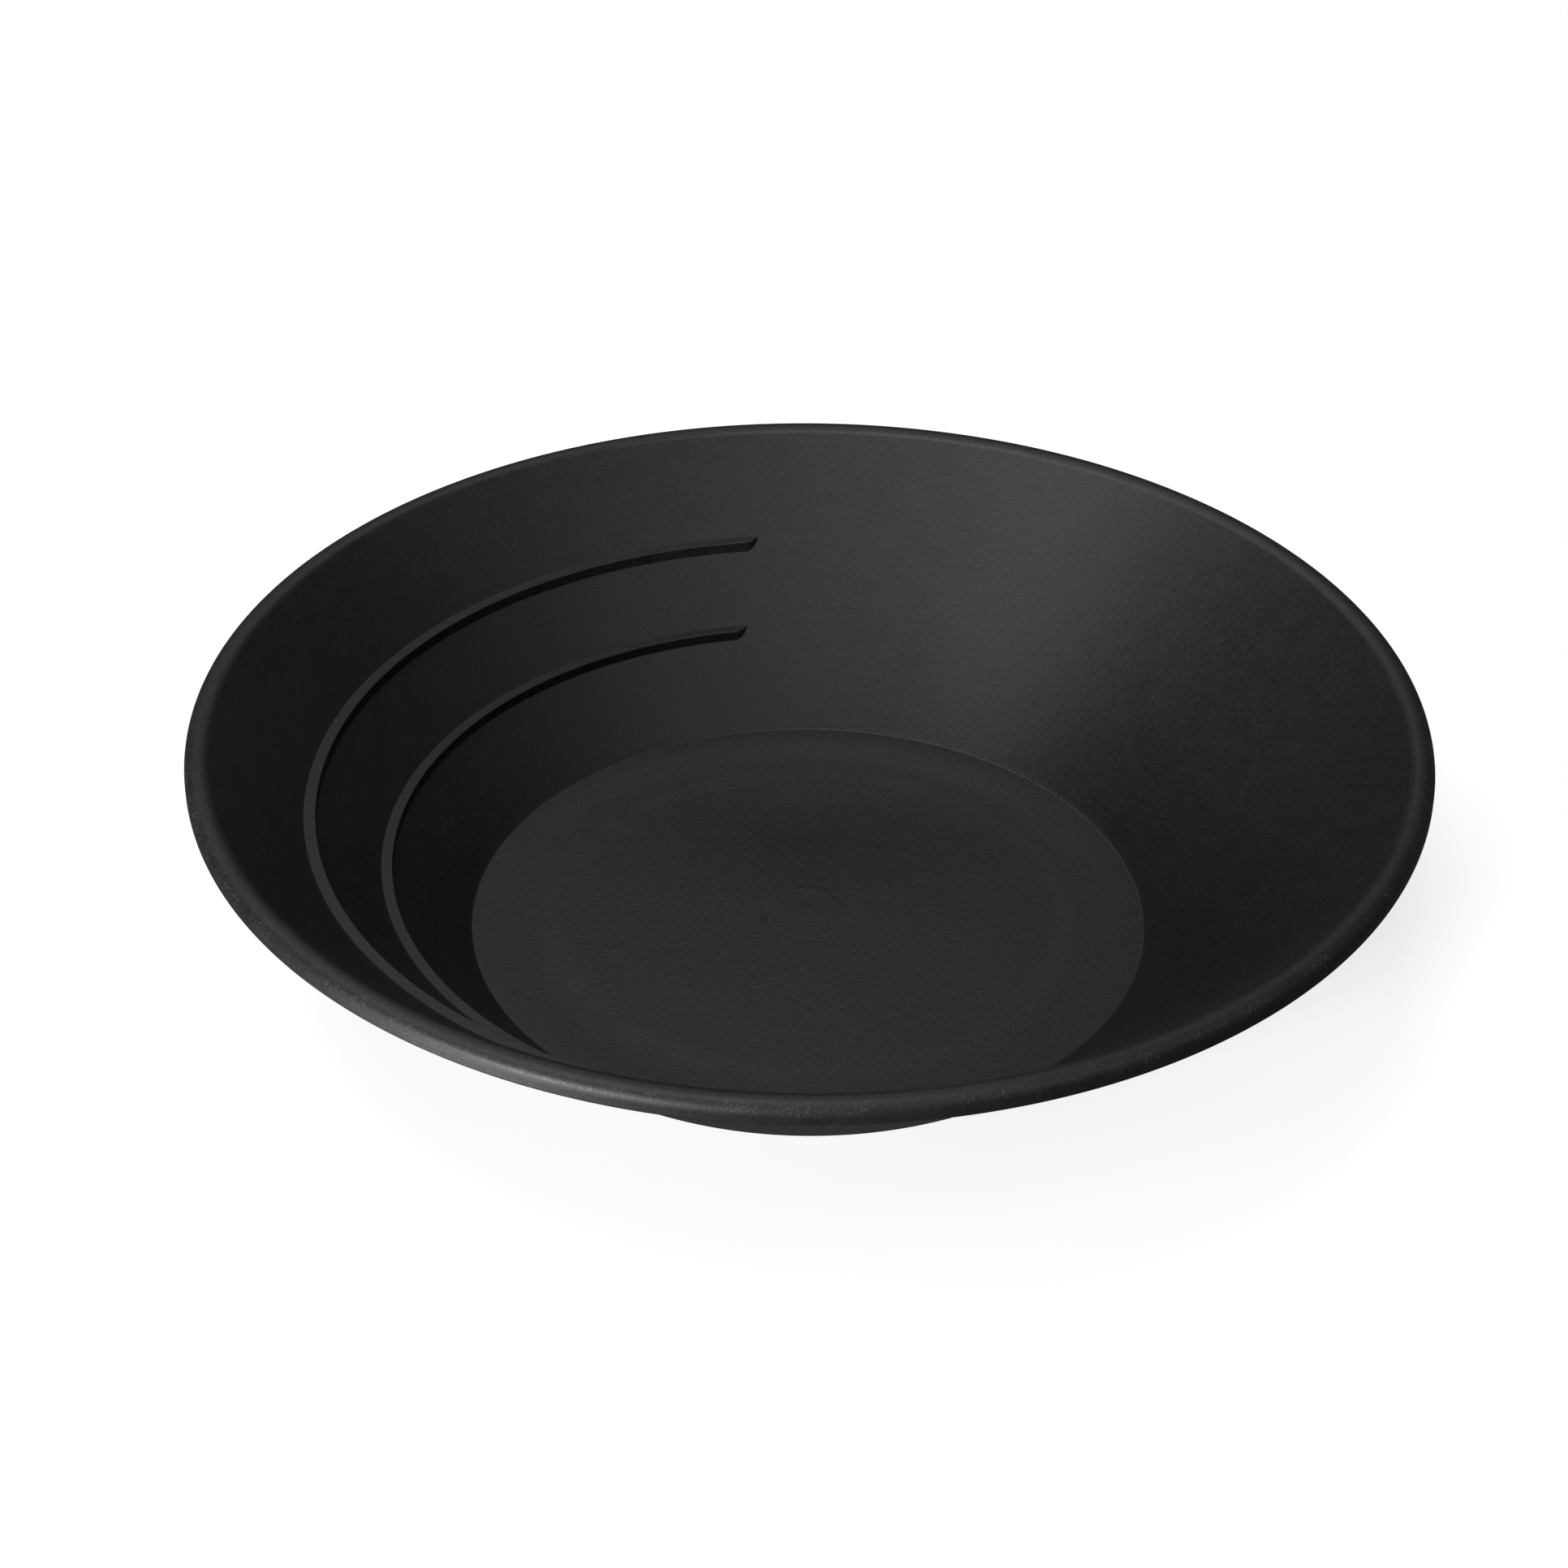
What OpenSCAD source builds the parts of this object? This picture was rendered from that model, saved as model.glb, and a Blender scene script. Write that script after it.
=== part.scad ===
// Gold pan: a shallow conical washing pan with two riffles, moulded in one piece in satin plastic.
// The origin is the centre of the underside, +Z is up, and the riffles are on the -X side.
// Every node is one region of the moulding. Neighbours meet face to face and never overlap.

/* [Pan] */
// Outside diameter over the rim
pan_diameter = 356; // [330:1:380]
// Height from the underside to the top of the rim
pan_height = 73.4; // [68:0.2:84]
// Diameter of the flat floor, up to the crease with the wall
floor_diameter = 200; // [180:1:215]
// Thickness of the floor
floor_thickness = 2.4; // [1.8:0.1:3]
// Thickness of the wall, square to its face
wall_thickness = 2.2; // [1.6:0.1:2.6]

/* [Rim] */
// Width of the rim, from the line of the wall's inner face to the outside
rim_width = 6; // [6:0.1:9]
// Thickness of the rim's top
rim_thickness = 2.2; // [2:0.1:2.6]
// Height of the rim's outer face, from its top to the lower edge of the lip
lip_height = 6.1; // [5:0.1:9]
// Thickness of the down-turned lip
lip_thickness = 2; // [1.8:0.1:2.4]

/* [Riffles] */
// Height of the upper riffle's ledge above the floor
upper_ledge_height = 45.5; // [38:0.1:55]
// Height of the lower riffle's ledge above the floor
lower_ledge_height = 24.8; // [12:0.1:32]
// Width of the upper ledge, from its edge to the wall
upper_ledge_width = 3.5; // [3:0.1:4.5]
// Width of the lower ledge, from its edge to the wall
lower_ledge_width = 3.3; // [3:0.1:4.5]
// Angle from the middle of the upper riffle to either tip
upper_half_span = 83.2; // [60:0.1:88]
// Angle from the middle of the lower riffle to either tip
lower_half_span = 80.6; // [60:0.1:88]
// Radius of the round ends, seen from above
end_radius = 5; // [5:0.1:6]

/* [Edge roundings] */
// Where the wall turns over into the rim
knee_radius = 5; // [3:0.1:5.5]
// Outer edge of the rim's top
rim_edge_radius = 3.5; // [2.5:0.1:3.8]
// Lower outer edge of the lip
lip_edge_radius = 0.9; // [0.5:0.1:1]
// Hidden edges and corners under the rim
under_rim_radius = 0.6; // [0.3:0.1:0.7]
// Crease between the floor and the wall
crease_radius = 0.8; // [0.4:0.1:1.5]
// Outer edge of the underside
foot_radius = 1.5; // [0.5:0.1:2]

/* [Hidden] */
$fn = 180;

pan_colour = "#2b2b2b";
pan_radius = pan_diameter / 2;
floor_radius = floor_diameter / 2;
rise = pan_height - floor_thickness;
run = pan_radius - rim_width - floor_radius;
wall_angle = atan2(rise, run);

// The floor disc ends a little inside the crease, so that the wall carries the whole rounding
crease_margin = 1.5;
floor_disc_radius = floor_radius - crease_margin;
// The wall hands over to the rim a little below the rim's underside
rim_margin = 1;
rim_underside = pan_height - rim_thickness;
rim_start = rim_underside - rim_margin;
lip_bottom = pan_height - lip_height;
lip_inner_radius = pan_radius - lip_thickness;

// How far a cutting shape passes the faces that it cuts
reach = 1;
// How far a rounding's sliver passes its corner, so that it never shares a face with the corner
overshoot = 0.2;
// How far a rounding's circle passes the faces that it would only touch, so that it crosses them cleanly
arc_bite = 0.00005;
// How far the round end of a riffle cuts into the ledge's edge, so that the two aren't tangent
end_bite = 0.02;

// Radius of the wall's inner face and outer face at height z
function inner_radius(z) = floor_radius + (z - floor_thickness) / tan(wall_angle);
function outer_radius(z) = inner_radius(z) + wall_thickness / sin(wall_angle);

// Unit vector at an angle in the plane
function toward(angle) = [cos(angle), sin(angle)];

// The sliver between a corner and its rounding. Its sides leave the corner at the angles from and to.
// Taken away, it rounds an outside corner. Added, it fills an inside one.
module corner_sliver(corner, from, to, radius) {
    half = (to - from) / 2;
    middle = (to + from) / 2;
    centre = radius / sin(half) * toward(middle);
    side = radius / tan(half);
    translate(corner)
        difference() {
            polygon([-overshoot * toward(middle), side * toward(from), centre, side * toward(to)]);
            translate(centre) circle(radius + arc_bite);
        }
}

// Half section of the wall, from the floor disc to the rim
module wall_section() {
    difference() {
        union() {
            polygon([
                [floor_disc_radius, 0],
                [outer_radius(0), 0],
                [outer_radius(rim_start), rim_start],
                [inner_radius(rim_start), rim_start],
                [floor_radius, floor_thickness],
                [floor_disc_radius, floor_thickness]
            ]);
            corner_sliver([floor_radius, floor_thickness], wall_angle, 180, crease_radius);
        }
        corner_sliver([outer_radius(0), 0], wall_angle, 180, foot_radius);
    }
}

// Half section of the rim: the wall's last stretch, the flat top and the down-turned lip
module rim_section() {
    difference() {
        union() {
            polygon([
                [inner_radius(rim_start), rim_start],
                [outer_radius(rim_start), rim_start],
                [outer_radius(rim_underside), rim_underside],
                [lip_inner_radius, rim_underside],
                [lip_inner_radius, lip_bottom],
                [pan_radius, lip_bottom],
                [pan_radius, pan_height],
                [inner_radius(pan_height), pan_height]
            ]);
            corner_sliver([lip_inner_radius, rim_underside], 180, 270, under_rim_radius);
        }
        corner_sliver([inner_radius(pan_height), pan_height], 180 + wall_angle, 360, knee_radius);
        corner_sliver([pan_radius, pan_height], 180, 270, rim_edge_radius);
        corner_sliver([pan_radius, lip_bottom], 90, 180, lip_edge_radius);
        corner_sliver([lip_inner_radius, lip_bottom], 0, 90, under_rim_radius);
    }
}

// A riffle: a ledge on the wall with a level top and an upright edge, and round ends seen from above
module riffle(ledge_height, ledge_width, half_span) {
    top = floor_thickness + ledge_height;
    back = inner_radius(top);
    edge = back - ledge_width;
    foot = floor_thickness + (edge - floor_radius) * tan(wall_angle);
    end_centre_radius = edge + end_radius - end_bite;
    // From the edge's last full-width point to the tip, the round end turns through this angle
    end_angle = acos((pow(end_centre_radius, 2) + pow(back, 2) - pow(end_radius, 2))
        / (2 * end_centre_radius * back));
    full_half_span = half_span - end_angle;
    intersection() {
        rotate_extrude() polygon([[edge, foot], [back, top], [edge, top]]);
        union() {
            rotate([0, 0, 180 - full_half_span])
                rotate_extrude(angle = 2 * full_half_span)
                    translate([edge - reach, foot - reach])
                        square([ledge_width + 2 * reach, top - foot + 2 * reach]);
            for (side = [-1, 1])
                rotate([0, 0, 180 + side * full_half_span])
                    translate([end_centre_radius, 0, foot - reach])
                        cylinder(r = end_radius, h = top - foot + 2 * reach);
        }
    }
}

// The flat disc that the pan stands on
module floor_disc() {
    color(pan_colour) cylinder(r = floor_disc_radius, h = floor_thickness);
}

// The cone from the foot to just under the rim
module wall() {
    color(pan_colour) rotate_extrude() wall_section();
}

// The flat rim with its down-turned lip
module rim() {
    color(pan_colour) rotate_extrude() rim_section();
}

// The riffle nearer the rim
module upper_riffle() {
    color(pan_colour) riffle(upper_ledge_height, upper_ledge_width, upper_half_span);
}

// The riffle nearer the floor
module lower_riffle() {
    color(pan_colour) riffle(lower_ledge_height, lower_ledge_width, lower_half_span);
}

floor_disc();  // floor
wall();
rim();
upper_riffle();
lower_riffle();
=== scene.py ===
"""The looks of the gold pan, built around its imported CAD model. Lengths are in metres, +Z is up."""

import math

import bpy
import numpy as np
from mathutils import Matrix, Vector


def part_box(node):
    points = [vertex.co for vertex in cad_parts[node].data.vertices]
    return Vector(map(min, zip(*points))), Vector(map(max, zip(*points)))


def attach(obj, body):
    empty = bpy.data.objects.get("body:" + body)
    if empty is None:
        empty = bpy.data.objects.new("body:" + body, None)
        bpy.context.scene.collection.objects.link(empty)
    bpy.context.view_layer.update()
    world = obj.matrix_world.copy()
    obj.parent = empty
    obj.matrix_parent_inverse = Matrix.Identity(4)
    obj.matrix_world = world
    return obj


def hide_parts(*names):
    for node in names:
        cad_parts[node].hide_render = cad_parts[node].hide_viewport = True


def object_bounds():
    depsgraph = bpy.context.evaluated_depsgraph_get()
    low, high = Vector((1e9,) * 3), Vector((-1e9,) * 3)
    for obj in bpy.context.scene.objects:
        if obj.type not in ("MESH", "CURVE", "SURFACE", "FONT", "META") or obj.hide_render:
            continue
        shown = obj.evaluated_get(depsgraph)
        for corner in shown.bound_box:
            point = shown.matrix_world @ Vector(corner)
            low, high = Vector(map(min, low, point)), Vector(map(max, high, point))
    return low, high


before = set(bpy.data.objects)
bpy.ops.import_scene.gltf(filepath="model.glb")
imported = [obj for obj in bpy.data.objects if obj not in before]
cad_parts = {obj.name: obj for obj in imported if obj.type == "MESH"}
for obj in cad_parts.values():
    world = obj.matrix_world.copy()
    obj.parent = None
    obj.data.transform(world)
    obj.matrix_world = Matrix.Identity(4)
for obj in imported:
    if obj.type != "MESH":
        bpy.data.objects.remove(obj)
CAD_LOW, CAD_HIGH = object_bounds()

MM = 0.001

# ---------------------------------------------------------------- sizes

# From the CAD nodes' boxes
FLOOR_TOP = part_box("floor")[1].z
FLOOR_DISC_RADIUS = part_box("floor")[1].x
RIM_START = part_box("wall")[1].z
LIP_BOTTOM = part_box("rim")[0].z
RIM_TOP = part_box("rim")[1].z
UPPER_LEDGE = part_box("upper_riffle")[1].z
LOWER_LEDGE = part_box("lower_riffle")[1].z
# The CAD mesh's own box is a little inside the true circle, and the pieces stay in it
PAN_RADIUS = min(CAD_HIGH.x, CAD_HIGH.y, -CAD_LOW.x, -CAD_LOW.y) - 0.01 * MM

# The moulding's driving sizes
FLOOR_RADIUS = 100 * MM
WALL_THICKNESS = 2.2 * MM
RIM_WIDTH = 6 * MM
RIM_THICKNESS = 2.2 * MM
LIP_THICKNESS = 2 * MM
KNEE_RADIUS = 5 * MM
RIM_EDGE_RADIUS = 3.5 * MM
LIP_EDGE_RADIUS = 0.9 * MM
UNDER_RIM_RADIUS = 0.6 * MM
CREASE_RADIUS = 0.8 * MM
FOOT_RADIUS = 1.5 * MM

# The riffles, centred on the -X side. A span is from the middle to a tip.
UPPER_LEDGE_WIDTH = 3.5 * MM
LOWER_LEDGE_WIDTH = 3.3 * MM
UPPER_HALF_SPAN = math.radians(83.2)
LOWER_HALF_SPAN = math.radians(80.6)
RIFFLE_END_RADIUS = 5 * MM
RIFFLE_EDGE_RADIUS = 0.3 * MM
RIFFLE_EDGE_STEPS = 5
RIFFLE_END_STEPS = 16

# How much handling shows on the edges, from 0 to 1
OUTER_EDGE_WEAR = 1.0
KNEE_WEAR = 0.5
RIFFLE_WEAR = 0.7

# The injection mark in the middle of the floor: a very low dome inside a faint ring,
# which is deepest on its left and stands up a little at its back
MARK_RADIUS = 12.8 * MM
MARK_HEIGHT = 0.10 * MM
RING_WIDTH = 1.1 * MM
RING_DEPTH = 0.015 * MM
RING_LEFT_DEPTH = 0.15 * MM
RING_LEFT_SPREAD = math.radians(17)
RING_BACK_RISE = 0.09 * MM
RING_BACK_SPREAD = math.radians(28)
DENT_CENTRE = (0.5 * MM, 7.5 * MM)
DENT_RADIUS = 3.2 * MM
DENT_DEPTH = 0.06 * MM

# The floor has shrunk a little on cooling: it is lower inside its edge, and lowest behind the middle
SINK_DEPTH = 0.22 * MM
SINK_START = 82 * MM
HOLLOW_CENTRE = (10 * MM, 60 * MM)
HOLLOW_SPREAD = (40 * MM, 24 * MM)
HOLLOW_DEPTH = 1.4 * MM

# How finely the pieces are divided: around the pan, along the floor's radius and round the edges
SEGMENTS = 720
FLOOR_COARSE_END = 17 * MM
FLOOR_COARSE_STEPS = 26
FLOOR_FINE_STEPS = 38
ARC_STEP = math.radians(7.5)

WALL_ANGLE = math.atan2(RIM_TOP - FLOOR_TOP, PAN_RADIUS - RIM_WIDTH - FLOOR_RADIUS)


def inner_radius(z):
    """Radius of the wall's inner face at height z."""
    return FLOOR_RADIUS + (z - FLOOR_TOP) / math.tan(WALL_ANGLE)


def outer_radius(z):
    """Radius of the wall's outer face at height z."""
    return inner_radius(z) + WALL_THICKNESS / math.sin(WALL_ANGLE)


# ---------------------------------------------------------------- mesh building


class Outline:
    """A closed half section in (radius, height), walked with the material on its left.

    Each stretch keeps the surface normal at both ends, so that flats stay flat beside a rounding."""

    def __init__(self):
        self.corners = []

    def corner(self, r, z, radius=0.0, wear=0.0):
        """The next corner. A radius rounds it, and wear says how much handling shows there."""
        self.corners.append((np.array((r, z)), radius, wear))
        return self

    def rounded_corner(self, i):
        """The points and surface normals of a corner's rounding, in order, or just the corner itself."""
        before = self.corners[i - 1][0]
        here, radius, _ = self.corners[i]
        after = self.corners[(i + 1) % len(self.corners)][0]
        if not radius:
            return [here], [None]
        back = (before - here) / np.linalg.norm(before - here)
        ahead = (after - here) / np.linalg.norm(after - here)
        half = math.acos(np.clip(back @ ahead, -1, 1)) / 2
        centre = here + (back + ahead) / np.linalg.norm(back + ahead) * radius / math.sin(half)
        start = here + back * radius / math.tan(half) - centre
        outward = 1 if back[1] * ahead[0] - back[0] * ahead[1] > 0 else -1
        turn = (math.pi - 2 * half) * outward
        steps = max(4, math.ceil(abs(turn) / ARC_STEP))
        points, normals = [], []
        for k in range(steps + 1):
            c, s = math.cos(turn * k / steps), math.sin(turn * k / steps)
            arm = np.array((start[0] * c - start[1] * s, start[0] * s + start[1] * c))
            points.append(centre + arm)
            normals.append(outward * arm / radius)
        return points, normals

    def stretches(self):
        """The stretches in order, each with the (point, normal, wear) of its two ends."""
        arcs = [self.rounded_corner(i) for i in range(len(self.corners))]
        out = []
        for i, (points, normals) in enumerate(arcs):
            last = len(points) - 1
            # Wear is strongest in the middle of a rounding, and fades out at the flats
            worn = [self.corners[i][2] * math.sin(math.pi * k / max(last, 1)) for k in range(last + 1)]
            for k in range(last):
                out.append(((points[k], normals[k], worn[k]), (points[k + 1], normals[k + 1], worn[k + 1])))
            next_point = arcs[(i + 1) % len(arcs)][0][0]
            way = next_point - points[last]
            flat = np.array((way[1], -way[0])) / np.linalg.norm(way)
            out.append(((points[last], flat, 0.0), (next_point, flat, 0.0)))
        return out


def make_piece(name, verts, faces, normals, wear, material):
    """A mesh object with its own corner normals and a wear value on each vertex."""
    mesh = bpy.data.meshes.new(name)
    mesh.from_pydata(verts, [], faces)
    mesh.polygons.foreach_set("use_smooth", [True] * len(faces))
    mesh.normals_split_custom_set(normals)
    attribute = mesh.attributes.new("wear", "FLOAT", "POINT")
    attribute.data.foreach_set("value", np.asarray(wear, np.float32))
    mesh.materials.append(material)
    mesh.validate(clean_customdata=False)
    piece = bpy.data.objects.new(name, mesh)
    bpy.context.scene.collection.objects.link(piece)
    return piece


def revolve(name, outline, material):
    """Turns a closed outline about Z into a solid."""
    angles = np.arange(SEGMENTS) * 2 * math.pi / SEGMENTS
    c, s = np.cos(angles), np.sin(angles)
    verts, wear, first_vertex = [], [], {}

    def ring(point, value):
        """The index of a point's first vertex. Each point is turned into a ring of vertices once.

        Points less than about 0.1 micrometre apart count as the same one."""
        key = (round(point[0] * 1e7), round(point[1] * 1e7))
        if key not in first_vertex:
            first_vertex[key] = len(verts)
            verts.extend(zip(point[0] * c, point[0] * s, [point[1]] * SEGMENTS))
            wear.extend([0.0] * SEGMENTS)
        first = first_vertex[key]
        wear[first:first + SEGMENTS] = [max(wear[first], value)] * SEGMENTS
        return first

    faces, normals = [], []
    for (start, start_normal, start_wear), (end, end_normal, end_wear) in outline.stretches():
        a, b = ring(start, start_wear), ring(end, end_wear)
        for j in range(SEGMENTS):
            k = (j + 1) % SEGMENTS
            faces.append((a + j, a + k, b + k, b + j))
            for m, n in ((j, start_normal), (k, start_normal), (k, end_normal), (j, end_normal)):
                normals.append((n[0] * c[m], n[0] * s[m], n[1]))
    return make_piece(name, verts, faces, normals, wear, material)


# ---------------------------------------------------------------- material


class NodeMaths:
    """Short names for building a node network. Every method returns the new node's output socket."""

    def __init__(self, tree):
        self.nodes = tree.nodes
        self.links = tree.links

    def node(self, kind, inputs, **settings):
        """A node of the given kind. An input may be a value or another node's output socket."""
        new = self.nodes.new(kind)
        for name, value in settings.items():
            setattr(new, name, value)
        for name, value in inputs.items():
            if isinstance(value, bpy.types.NodeSocket):
                self.links.new(value, new.inputs[name])
            else:
                new.inputs[name].default_value = value
        return new

    def maths(self, operation, a, b=0.0, c=0.0):
        """One Math node. MULTIPLY_ADD gives a times b, plus c."""
        return self.node("ShaderNodeMath", {0: a, 1: b, 2: c}, operation=operation).outputs[0]

    def scaled(self, vector, factors):
        """A vector stretched by a factor along each axis."""
        return self.node("ShaderNodeVectorMath", {0: vector, 1: factors}, operation="MULTIPLY").outputs[0]

    def noise(self, vector, scale, detail=1.0, w=None):
        """Noise from 0 to 1 with its middle at 0.5. The scale is in features per metre of the vector."""
        inputs = {"Vector": vector, "Scale": scale, "Detail": detail, "Roughness": NOISE_ROUGHNESS}
        if w is not None:
            inputs["W"] = w
        dimensions = "3D" if w is None else "4D"
        return self.node("ShaderNodeTexNoise", inputs, noise_dimensions=dimensions).outputs["Fac"]

    def about_zero(self, noise):
        """Noise moved so that its middle is at 0."""
        return self.maths("SUBTRACT", noise, 0.5)

    def about_one(self, noise, spread):
        """A factor from noise: 1 at its middle, and the spread is how far apart its ends are."""
        return self.maths("MULTIPLY_ADD", noise, spread, 1 - spread / 2)

    def ramp(self, value, low, high, to_low=0.0, to_high=1.0):
        """A smooth step from to_low to to_high as the value goes from low to high."""
        inputs = {"Value": value, "From Min": low, "From Max": high, "To Min": to_low, "To Max": to_high}
        return self.node("ShaderNodeMapRange", inputs, interpolation_type="SMOOTHSTEP").outputs["Result"]

    def bump(self, height, depth, normal=None):
        """Relief whose height of 1 is the depth, in metres."""
        inputs = {"Height": height, "Distance": depth, "Strength": 1.0}
        if normal is not None:
            inputs["Normal"] = normal
        return self.node("ShaderNodeBump", inputs).outputs["Normal"]


# Base colour: the black itself, and what scuffs, specks of dust and a film of dust add to it
BLACK = 0.0055
SCUFFED = 0.030
DUST = 0.06
FILM = 0.006
# How much the black varies, as a share of itself
BROAD_SHADE = 0.4
MOTTLED_SHADE = 0.4
FLOW_SHADE = 0.5
GRAIN_SHADE = 0.5

# Finish, as the shader's roughness: the satin itself, and what else adds to it
SATIN = 0.40
BROAD_FINISH = 0.05
MOTTLED_FINISH = 0.06
FLOW_FINISH = 0.05
GRAIN_FINISH = 0.18
RIM_FINISH = 0.11
SCUFFED_FINISH = 0.08
DUSTY_FINISH = 0.15

# Sizes of the patterns, in features per metre
BROAD = 16.0
MOTTLE = 110.0
SOFT_GRAIN = 800.0
FINE_GRAIN = 1700.0
SPECKLE = 1350.0
DUST_CELLS = 300.0
# The same for scratches, which are long in X or in Y
X_SCRATCHES = (110.0, 1700.0, 110.0)
Y_SCRATCHES = (1500.0, 90.0, 90.0)
# Flow lines: fineness around the pan, and how soon they change on the way outward
FLOW_LINES = 26.0
FLOW_CHANGE = 9.0
# How much the finer layers of a pattern count
NOISE_ROUGHNESS = 0.55

# Depth of the grain, and how much of it the floor and the wall have
SOFT_GRAIN_DEPTH = 0.040 * MM
FINE_GRAIN_DEPTH = 0.065 * MM
FLOOR_GRAIN = 1.45
WALL_GRAIN = 0.70

# Specks of dust: the share of cells without one, and the largest radius of a speck, in cells
CLEAN_SHARE = 0.80
SPECK_RADIUS = 0.055

# Dust has settled in a faint ring on the floor, where fewer cells are clean
DUST_RING_RADIUS = 76 * MM
DUST_RING_HALF_WIDTH = 7 * MM
DUST_RING_SHARE = 0.25

# The floor's finish is smoother in a patch behind the injection mark, and duller towards the crease
PATCH_CENTRE = (8 * MM, 40 * MM, FLOOR_TOP)
PATCH_HALF_WIDTH = 62 * MM
PATCH_HALF_DEPTH = 40 * MM
PATCH_FINISH = -0.09
CREASE_FINISH = 0.05


def moulded_plastic():
    """Black satin plastic with a fine moulded grain, faint flow lines, scuffs and a little dust."""
    material = bpy.data.materials.new("pan_plastic")
    material.use_nodes = True
    m = NodeMaths(material.node_tree)
    shader = m.nodes["Principled BSDF"]
    shader.inputs["IOR"].default_value = 1.5

    place = m.node("ShaderNodeTexCoord", {}).outputs["Object"]
    height = m.node("ShaderNodeSeparateXYZ", {"Vector": place}).outputs["Z"]
    flat = m.scaled(place, (1.0, 1.0, 0.0))
    radius = m.node("ShaderNodeVectorMath", {0: flat}, operation="LENGTH").outputs["Value"]
    outward = m.node("ShaderNodeVectorMath", {0: flat}, operation="NORMALIZE").outputs[0]
    facing = m.node("ShaderNodeNewGeometry", {}).outputs["Normal"]
    facing_up = m.node("ShaderNodeSeparateXYZ", {"Vector": facing}).outputs["Z"]
    wear = m.node("ShaderNodeAttribute", {}, attribute_name="wear").outputs["Fac"]

    # Broad unevenness, mottling, and the two sizes of the moulded grain
    broad = m.noise(place, BROAD)
    mottle = m.noise(place, MOTTLE, detail=2.0)
    soft_grain = m.noise(place, SOFT_GRAIN)
    fine_grain = m.noise(place, FINE_GRAIN)

    # Flow lines run outward from the middle, and fade out near it
    flow = m.noise(outward, FLOW_LINES, w=m.maths("MULTIPLY", radius, FLOW_CHANGE))
    flow = m.maths("MULTIPLY", m.about_zero(flow), m.ramp(radius, 20 * MM, 90 * MM))

    # The smooth patch on the floor, with an uneven edge
    on_floor = m.ramp(height, FLOOR_TOP + 0.8 * MM, FLOOR_TOP + 1.6 * MM, 1.0, 0.0)
    way = m.node("ShaderNodeVectorMath", {0: place, 1: PATCH_CENTRE}, operation="SUBTRACT").outputs[0]
    way = m.scaled(way, (1 / PATCH_HALF_WIDTH, 1 / PATCH_HALF_DEPTH, 0.0))
    from_middle = m.node("ShaderNodeVectorMath", {0: way}, operation="LENGTH").outputs["Value"]
    from_middle = m.maths("MULTIPLY_ADD", m.about_zero(broad), 0.5, from_middle)
    patch = m.maths("MULTIPLY", m.ramp(from_middle, 0.0, 1.0, 1.0, 0.0), on_floor)
    by_crease = m.maths("MULTIPLY", m.ramp(radius, 60 * MM, 95 * MM), on_floor)

    # Speckled scuffs on the edges where the pan is handled, and the duller outer part of the rim
    speckle = m.noise(place, SPECKLE, detail=2.0)
    handled = m.maths("MULTIPLY", wear, m.ramp(mottle, 0.38, 0.62))
    scuffs = m.maths("MULTIPLY", m.ramp(speckle, 0.54, 0.66), handled)
    outer_rim = m.ramp(radius, PAN_RADIUS - 7.5 * MM, PAN_RADIUS - 1.5 * MM)

    # Scratches from the ground, both ways across the underside
    under = m.ramp(height, 0.0, 0.6 * MM, 1.0, 0.0)
    across = m.noise(m.scaled(place, Y_SCRATCHES), 1.0)
    along = m.noise(m.scaled(place, X_SCRATCHES), 1.0)
    scratches = m.ramp(m.maths("MAXIMUM", across, along), 0.62, 0.72)
    scuffs = m.maths("MULTIPLY_ADD", scratches, under, scuffs)

    # Dust: a few pale specks wherever the plastic faces up, and more of them in a ring on the floor
    settles = m.ramp(facing_up, 0.1, 0.5)
    off_ring = m.maths("ABSOLUTE", m.maths("SUBTRACT", radius, DUST_RING_RADIUS))
    ring = m.maths("MULTIPLY", m.ramp(off_ring, 0.0, DUST_RING_HALF_WIDTH, 1.0, 0.0), on_floor)
    ring = m.maths("MULTIPLY", ring, settles)
    cells = m.node("ShaderNodeTexVoronoi", {"Vector": place, "Scale": DUST_CELLS}).outputs
    lottery = m.node("ShaderNodeSeparateColor", {"Color": cells["Color"]}).outputs["Red"]
    lottery = m.maths("MULTIPLY_ADD", ring, DUST_RING_SHARE, lottery)
    speck = m.maths("MULTIPLY", m.ramp(lottery, CLEAN_SHARE, 1.0), SPECK_RADIUS)
    dust = m.maths("MULTIPLY", m.maths("LESS_THAN", cells["Distance"], speck), settles)

    # Colour: the black varies a little, and is greyer where it is scuffed or dusty
    darkest, palest = (1 - GRAIN_SHADE) * BLACK, (1 + GRAIN_SHADE) * BLACK
    shade = m.about_one(broad, BROAD_SHADE)
    shade = m.maths("MULTIPLY", shade, m.about_one(mottle, MOTTLED_SHADE))
    shade = m.maths("MULTIPLY", shade, m.maths("MULTIPLY_ADD", flow, FLOW_SHADE, 1.0))
    shade = m.maths("MULTIPLY", shade, m.ramp(fine_grain, 0.36, 0.64, darkest, palest))
    shade = m.maths("MULTIPLY_ADD", scuffs, SCUFFED, shade)
    shade = m.maths("MULTIPLY_ADD", m.maths("MULTIPLY", ring, mottle), FILM, shade)
    shade = m.maths("MULTIPLY_ADD", dust, DUST, shade)
    grey = m.node("ShaderNodeCombineColor", {"Red": shade, "Green": shade, "Blue": shade}).outputs[0]
    m.links.new(grey, shader.inputs["Base Color"])

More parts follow.
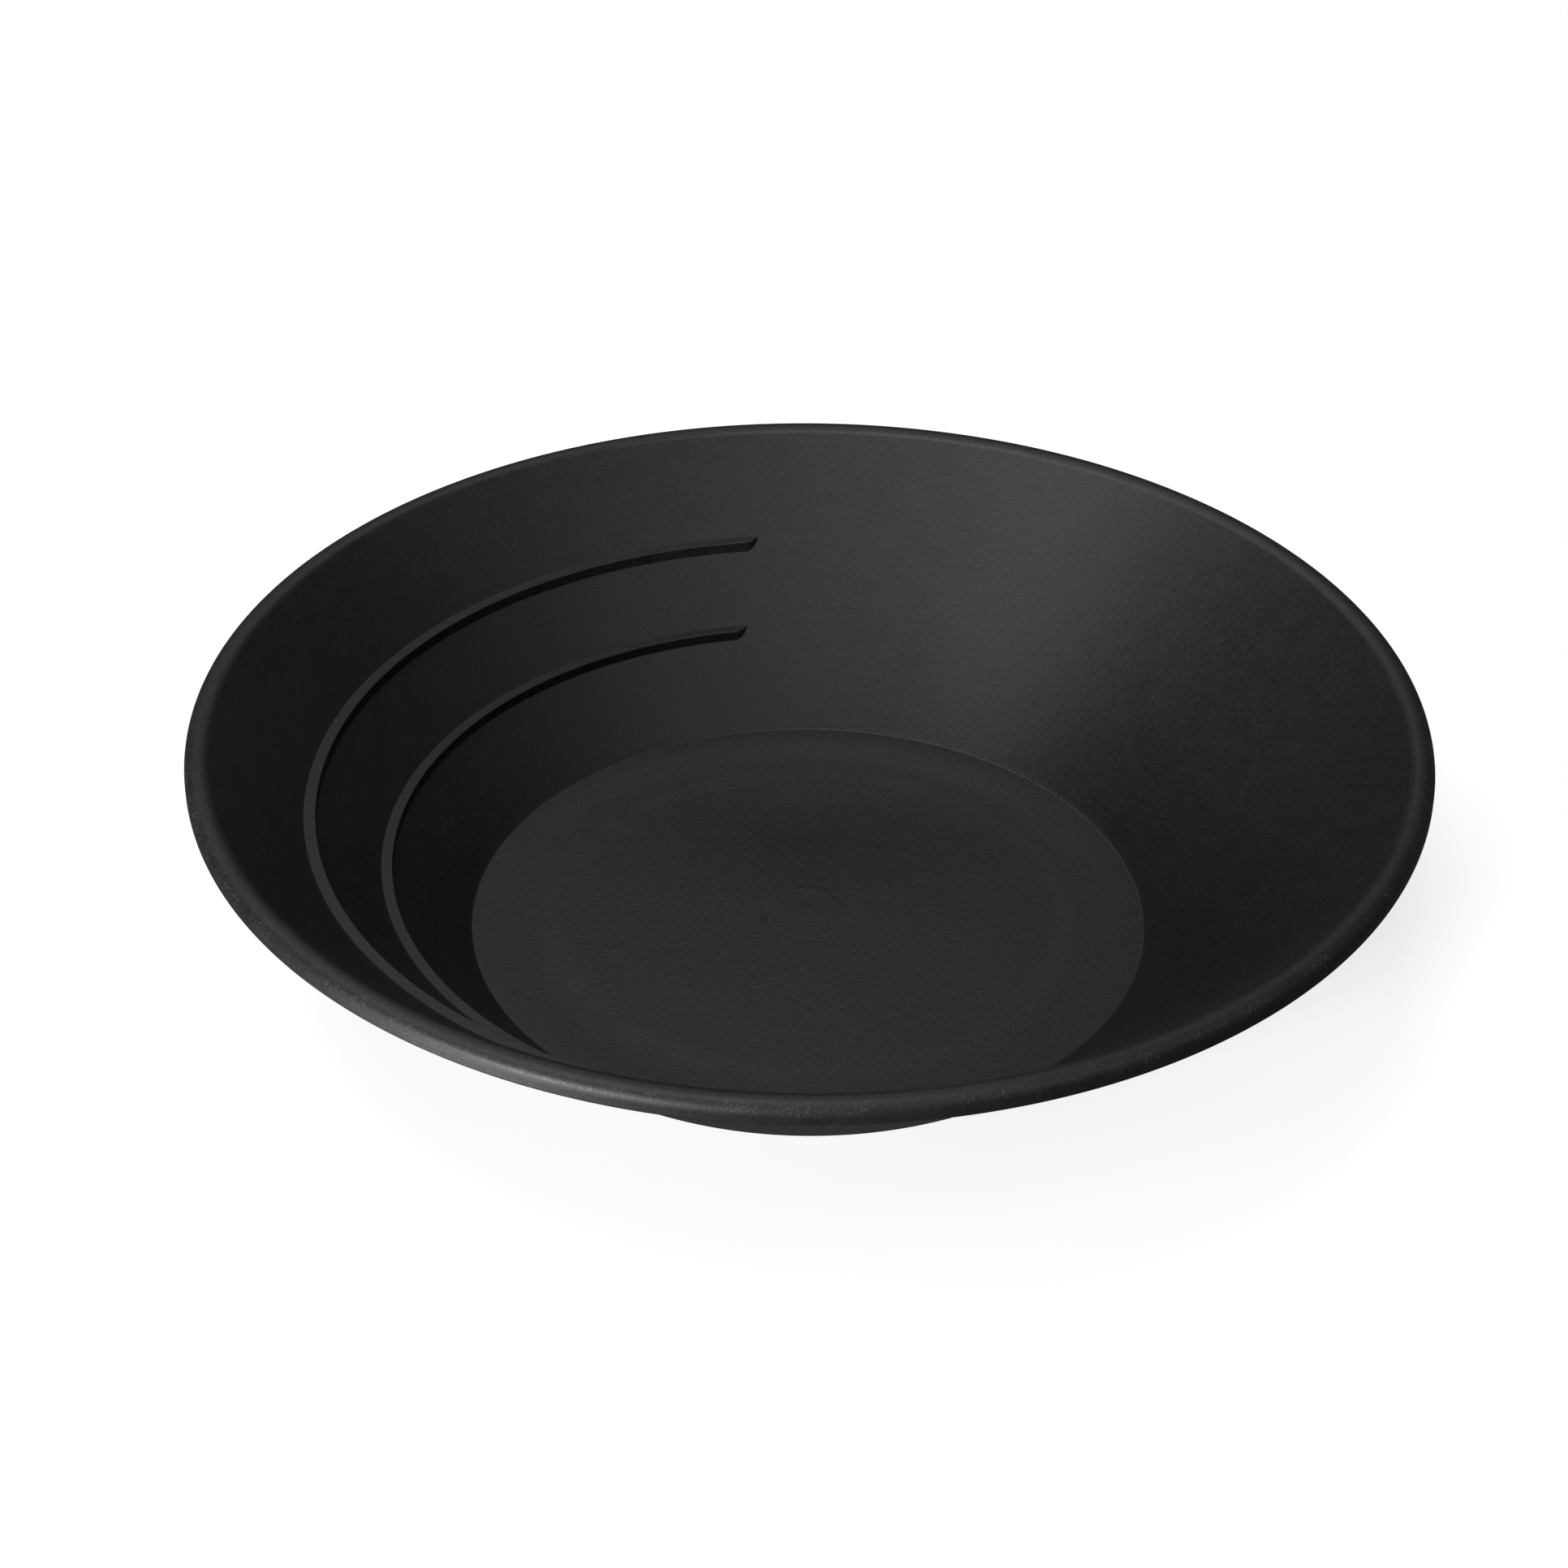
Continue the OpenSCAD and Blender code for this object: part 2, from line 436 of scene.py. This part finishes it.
    # Finish: satin, uneven, and rougher on the rim and where it is scuffed or dusty
    finish = SATIN
    for part, amount in (
        (m.about_zero(broad), BROAD_FINISH),
        (m.about_zero(mottle), MOTTLED_FINISH),
        (flow, FLOW_FINISH),
        (m.about_zero(soft_grain), GRAIN_FINISH),
        (patch, PATCH_FINISH),
        (by_crease, CREASE_FINISH),
        (outer_rim, RIM_FINISH),
        (scuffs, SCUFFED_FINISH),
        (dust, DUSTY_FINISH),
    ):
        finish = m.maths("MULTIPLY_ADD", part, amount, finish)
    m.links.new(finish, shader.inputs["Roughness"])

    # Relief: the grain, which is deeper on the floor than on the wall
    strength = m.maths("MULTIPLY_ADD", on_floor, FLOOR_GRAIN - WALL_GRAIN, WALL_GRAIN)
    soft_relief = m.maths("MULTIPLY", m.about_zero(soft_grain), strength)
    fine_relief = m.maths("MULTIPLY", m.about_zero(fine_grain), strength)
    normal = m.bump(soft_relief, SOFT_GRAIN_DEPTH)
    normal = m.bump(fine_relief, FINE_GRAIN_DEPTH, normal)
    m.links.new(normal, shader.inputs["Normal"])
    return material


# ---------------------------------------------------------------- pieces


def smooth_step(value, low, high):
    """Goes smoothly from 0 to 1 as the value goes from low to high."""
    t = np.clip((value - low) / (high - low), 0, 1)
    return t * t * (3 - 2 * t)


def floor_height(x, y):
    """Height of the floor's top at a point: the sink, the hollow and the injection mark on a flat disc."""
    r = np.hypot(x, y)
    angle = np.arctan2(y, x)
    inside = 1 - smooth_step(r, SINK_START, FLOOR_DISC_RADIUS)
    hollow = ((x - HOLLOW_CENTRE[0]) / HOLLOW_SPREAD[0]) ** 2
    hollow += ((y - HOLLOW_CENTRE[1]) / HOLLOW_SPREAD[1]) ** 2
    dent = ((x - DENT_CENTRE[0]) ** 2 + (y - DENT_CENTRE[1]) ** 2) / DENT_RADIUS ** 2
    left = (np.abs(angle) - math.pi) / RING_LEFT_SPREAD
    back = (angle - math.pi / 2) / RING_BACK_SPREAD
    ring = RING_BACK_RISE * np.exp(-back ** 2) - RING_DEPTH - RING_LEFT_DEPTH * np.exp(-left ** 2)
    z = FLOOR_TOP - inside * (SINK_DEPTH + HOLLOW_DEPTH * np.exp(-hollow / 2))
    z += MARK_HEIGHT * np.maximum(0, 1 - (r / MARK_RADIUS) ** 2)
    z -= DENT_DEPTH * np.exp(-dent)
    z += ring * np.exp(-((r - MARK_RADIUS) / RING_WIDTH) ** 2)
    return z


def floor_disc(name, material):
    """The floor disc: its uneven top, its flat underside and the narrow face where it meets the wall."""
    coarse = np.linspace(FLOOR_DISC_RADIUS, FLOOR_COARSE_END, FLOOR_COARSE_STEPS, endpoint=False)
    fine = np.linspace(FLOOR_COARSE_END, 0, FLOOR_FINE_STEPS, endpoint=False)
    radii = np.concatenate([coarse, fine])
    angles = np.arange(SEGMENTS) * 2 * math.pi / SEGMENTS
    x, y = np.outer(radii, np.cos(angles)), np.outer(radii, np.sin(angles))
    z = floor_height(x, y)
    step = 0.02 * MM
    slope_x = (floor_height(x + step, y) - floor_height(x - step, y)) / (2 * step)
    slope_y = (floor_height(x, y + step) - floor_height(x, y - step)) / (2 * step)
    # The edge is level, as the wall's own strip of floor is
    z[0], slope_x[0], slope_y[0] = FLOOR_TOP, 0, 0
    top_normals = np.stack([-slope_x, -slope_y, np.ones_like(x)], 2)
    top_normals /= np.linalg.norm(top_normals, axis=2, keepdims=True)
    last = (len(radii) - 1) * SEGMENTS
    verts = np.stack([x, y, z], 2).reshape(-1, 3).tolist()
    middle = len(verts)
    verts.append((0, 0, float(floor_height(0.0, 0.0))))
    foot = len(verts)
    verts += [(vx, vy, 0) for vx, vy, _ in verts[:SEGMENTS]]
    axis = len(verts)
    verts.append((0, 0, 0))
    up, down = (0, 0, 1), (0, 0, -1)
    faces, normals = [], []
    for j in range(SEGMENTS):
        k = (j + 1) % SEGMENTS
        side_j = (math.cos(angles[j]), math.sin(angles[j]), 0)
        side_k = (math.cos(angles[k]), math.sin(angles[k]), 0)
        for i in range(len(radii) - 1):
            a, b = i * SEGMENTS, (i + 1) * SEGMENTS
            faces.append((a + j, a + k, b + k, b + j))
            normals += [top_normals[i, j], top_normals[i, k], top_normals[i + 1, k], top_normals[i + 1, j]]
        faces.append((last + j, last + k, middle))
        normals += [top_normals[-1, j], top_normals[-1, k], up]
        faces.append((foot + j, foot + k, k, j))
        normals += [side_j, side_k, side_k, side_j]
        faces.append((foot + k, foot + j, axis))
        normals += [down, down, down]
    return make_piece(name, verts, faces, [tuple(n) for n in normals], np.zeros(len(verts)), material)


def wall_outline():
    """Half section of the wall, from the floor disc to the rim."""
    o = Outline()
    o.corner(FLOOR_DISC_RADIUS, 0)
    o.corner(outer_radius(0), 0, FOOT_RADIUS, OUTER_EDGE_WEAR)
    o.corner(outer_radius(RIM_START), RIM_START)
    o.corner(inner_radius(RIM_START), RIM_START)
    o.corner(FLOOR_RADIUS, FLOOR_TOP, CREASE_RADIUS)
    o.corner(FLOOR_DISC_RADIUS, FLOOR_TOP)
    return o


def rim_outline():
    """Half section of the rim: the wall's last stretch, the flat top and the down-turned lip."""
    under = RIM_TOP - RIM_THICKNESS
    lip_inner = PAN_RADIUS - LIP_THICKNESS
    o = Outline()
    o.corner(inner_radius(RIM_START), RIM_START)
    o.corner(outer_radius(RIM_START), RIM_START)
    o.corner(outer_radius(under), under)
    o.corner(lip_inner, under, UNDER_RIM_RADIUS)
    o.corner(lip_inner, LIP_BOTTOM, UNDER_RIM_RADIUS)
    o.corner(PAN_RADIUS, LIP_BOTTOM, LIP_EDGE_RADIUS, OUTER_EDGE_WEAR)
    o.corner(PAN_RADIUS, RIM_TOP, RIM_EDGE_RADIUS, OUTER_EDGE_WEAR)
    o.corner(inner_radius(RIM_TOP), RIM_TOP, KNEE_RADIUS, KNEE_WEAR)
    return o


def triangle_angle(a, b, opposite):
    """The angle between two sides of a triangle, from their lengths and that of the opposite side."""
    return math.acos((a ** 2 + b ** 2 - opposite ** 2) / (2 * a * b))


def riffle_stations(back, edge, half_span):
    """Half of a riffle's edge seen from above, from the middle to the tip.

    Each station is the radius, the angle from the middle, and the way that the face looks,
    which is given along the radius and across it."""
    end_centre = edge + RIFFLE_END_RADIUS
    # The pan's axis, the centre of the round end and the tip make a triangle
    end_arc = triangle_angle(end_centre, RIFFLE_END_RADIUS, back)
    straight = half_span - triangle_angle(end_centre, back, RIFFLE_END_RADIUS)
    steps = round(straight * SEGMENTS / (2 * math.pi))
    out = [(edge, straight * k / steps, (-1.0, 0.0)) for k in range(steps + 1)]
    for k in range(1, RIFFLE_END_STEPS + 1):
        a = end_arc * k / RIFFLE_END_STEPS
        x, y = end_centre - RIFFLE_END_RADIUS * math.cos(a), RIFFLE_END_RADIUS * math.sin(a)
        t = math.atan2(y, x)
        out.append((math.hypot(x, y), straight + t, (-math.cos(a + t), math.sin(a + t))))
    return out


def riffle_section(station, back, ledge_z):
    """A riffle's section: each point, its normals towards the next point and the last, and its wear."""
    r, t, (u, v) = station
    angle = math.pi + t
    up = np.array((0.0, 0.0, 1.0))
    radial = np.array((math.cos(angle), math.sin(angle), 0.0))
    along = np.array((-math.sin(angle), math.cos(angle), 0.0))
    face = radial * u + along * v
    cone = radial * math.sin(WALL_ANGLE) - up * math.cos(WALL_ANGLE)
    foot = FLOOR_TOP + (r - FLOOR_RADIUS) * math.tan(WALL_ANGLE)
    rounding = min(RIFFLE_EDGE_RADIUS, 0.4 * (ledge_z - foot), 0.4 * (back - r))
    section = [(radial * back + up * ledge_z, up, cone, 0.0)]
    for k in range(RIFFLE_EDGE_STEPS + 1):
        a = math.pi / 2 * k / RIFFLE_EDGE_STEPS
        inset, drop = rounding * (1 - math.sin(a)), rounding * (1 - math.cos(a))
        normal = up * math.cos(a) + face * math.sin(a)
        wear = RIFFLE_WEAR * math.sin(math.pi * k / RIFFLE_EDGE_STEPS)
        section.append((radial * r - face * inset + up * (ledge_z - drop), normal, normal, wear))
    section.append((radial * r + up * foot, cone, face, 0.0))
    return section


def riffle(name, ledge_z, width, half_span, material):
    """A ledge with a level top, an upright face with a slightly rounded edge, and round ends."""
    back = inner_radius(ledge_z)
    half_edge = riffle_stations(back, back - width, half_span)
    other_half = [(r, -t, (u, -v)) for r, t, (u, v) in half_edge[:0:-1]]
    stations = other_half + half_edge
    verts, wear, rows = [], [], []
    for i, station in enumerate(stations):
        section = riffle_section(station, back, ledge_z)
        # At either tip the whole section shrinks to one point
        at_tip = i in (0, len(stations) - 1)
        rows.append((len(verts), section, at_tip))
        for point, _, _, value in section[:1] if at_tip else section:
            verts.append(tuple(point))
            wear.append(value)
    faces, normals = [], []
    for (a, section_a, a_at_tip), (b, section_b, b_at_tip) in zip(rows, rows[1:]):
        for k in range(len(section_a)):
            m = (k + 1) % len(section_a)
            corners = []
            if not a_at_tip:
                corners.append((a + m, section_a[m][2]))
            corners.append((a if a_at_tip else a + k, section_a[k][1]))
            corners.append((b if b_at_tip else b + k, section_b[k][1]))
            if not b_at_tip:
                corners.append((b + m, section_b[m][2]))
            faces.append([index for index, _ in corners])
            normals += [tuple(normal) for _, normal in corners]
    return make_piece(name, verts, faces, normals, wear, material)


plastic = moulded_plastic()
pieces = {
    "floor": floor_disc("pan_floor", plastic),
    "wall": revolve("pan_wall", wall_outline(), plastic),
    "rim": revolve("pan_rim", rim_outline(), plastic),
    "upper_riffle": riffle("riffle_upper", UPPER_LEDGE, UPPER_LEDGE_WIDTH, UPPER_HALF_SPAN, plastic),
    "lower_riffle": riffle("riffle_lower", LOWER_LEDGE, LOWER_LEDGE_WIDTH, LOWER_HALF_SPAN, plastic),
}
for node, piece in pieces.items():
    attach(piece, "root")
    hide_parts(node)

# ---------------------------------------------------------------- stage, camera and light

# A light table: white paper that also glows
TABLE_HALF = 20.0
PAPER_WHITE = 0.6
PAPER_GLOW = 0.7
ROOM_GLOW = 0.09

table_corners = [(x * TABLE_HALF, y * TABLE_HALF, 0) for x, y in ((-1, -1), (1, -1), (1, 1), (-1, 1))]
table_mesh = bpy.data.meshes.new("table")
table_mesh.from_pydata(table_corners, [], [(0, 1, 2, 3)])
table = bpy.data.objects.new("table", table_mesh)
bpy.context.scene.collection.objects.link(table)
paper = bpy.data.materials.new("paper")
paper.use_nodes = True
paper_shader = paper.node_tree.nodes["Principled BSDF"]
paper_shader.inputs["Base Color"].default_value = (PAPER_WHITE, PAPER_WHITE, PAPER_WHITE, 1)
paper_shader.inputs["Roughness"].default_value = 0.9
paper_shader.inputs["Specular IOR Level"].default_value = 0.0
paper_shader.inputs["Emission Color"].default_value = (1, 1, 1, 1)
paper_shader.inputs["Emission Strength"].default_value = PAPER_GLOW
table_mesh.materials.append(paper)
# The pan neither mirrors the glowing paper nor is lit by it: a soft box below the paper does that
table.visible_glossy = False
table.visible_diffuse = False
table.visible_shadow = False

# The camera stands in front of the pan, which has its riffles on its left
CAMERA_DISTANCE = 0.9994
CAMERA_ELEVATION = math.radians(32.9)
CAMERA_AIM = Vector((-7.2 * MM, 0, -24.7 * MM))
CAMERA_ROLL = 0.0038
CAMERA_LENS = 79.92

rim_centre = Vector((0, 0, RIM_TOP))
camera_way = Vector((0, -math.cos(CAMERA_ELEVATION), math.sin(CAMERA_ELEVATION)))
eye = rim_centre + CAMERA_DISTANCE * camera_way
look = (rim_centre + CAMERA_AIM - eye).normalized()
right = look.cross(Vector((0, 0, 1))).normalized()
up = right.cross(look)
camera_x = right * math.cos(CAMERA_ROLL) + up * math.sin(CAMERA_ROLL)
camera_y = up * math.cos(CAMERA_ROLL) - right * math.sin(CAMERA_ROLL)
camera_turn = Matrix((camera_x, camera_y, -look)).transposed().to_4x4()
camera = bpy.data.objects.new("camera", bpy.data.cameras.new("camera"))
camera.data.lens = CAMERA_LENS
camera.matrix_world = Matrix.Translation(eye) @ camera_turn
bpy.context.scene.collection.objects.link(camera)
bpy.context.scene.camera = camera

LIGHT_DISTANCE = 1.5
LIGHT_AIM = Vector((0, 0, 0.04))


def soft_box(name, azimuth, elevation, width, height, watts):
    """A soft box facing the pan, with its size in metres.

    The azimuth, from +X towards +Y, and the elevation are in degrees."""
    azimuth, elevation = math.radians(azimuth), math.radians(elevation)
    level = math.cos(elevation)
    way = Vector((level * math.cos(azimuth), level * math.sin(azimuth), math.sin(elevation)))
    lamp = bpy.data.lights.new(name, "AREA")
    lamp.shape = "RECTANGLE"
    lamp.size = width
    lamp.size_y = height
    lamp.energy = watts
    box = bpy.data.objects.new(name, lamp)
    turn = way.to_track_quat("Z", "Y").to_matrix().to_4x4()
    box.matrix_world = Matrix.Translation(LIGHT_AIM + LIGHT_DISTANCE * way) @ turn
    box.visible_camera = False
    bpy.context.scene.collection.objects.link(box)


soft_box("key_low_left", 229, 12, 0.45, 0.25, 25.5)
soft_box("overhead", 180, 75, 0.8, 1.3, 9.0)
soft_box("behind", 105, 50, 1.2, 0.5, 2.0)
soft_box("behind_left", 135, 50, 0.6, 0.5, 0.4)
soft_box("right", 0, 38, 0.7, 0.5, 0.32)
soft_box("front_right", 325, 50, 0.7, 0.5, 0.9)
soft_box("front", 270, 57, 0.7, 0.5, 1.0)
soft_box("low_right", 300, 38, 0.7, 0.5, 1.2)
soft_box("paper_left", 215, -25, 0.4, 0.3, 11.0)

world = bpy.data.worlds.new("studio")
world.use_nodes = True
world.node_tree.nodes["Background"].inputs["Color"].default_value = (1, 1, 1, 1)
world.node_tree.nodes["Background"].inputs["Strength"].default_value = ROOM_GLOW
bpy.context.scene.world = world
bpy.context.scene.view_settings.view_transform = "Standard"
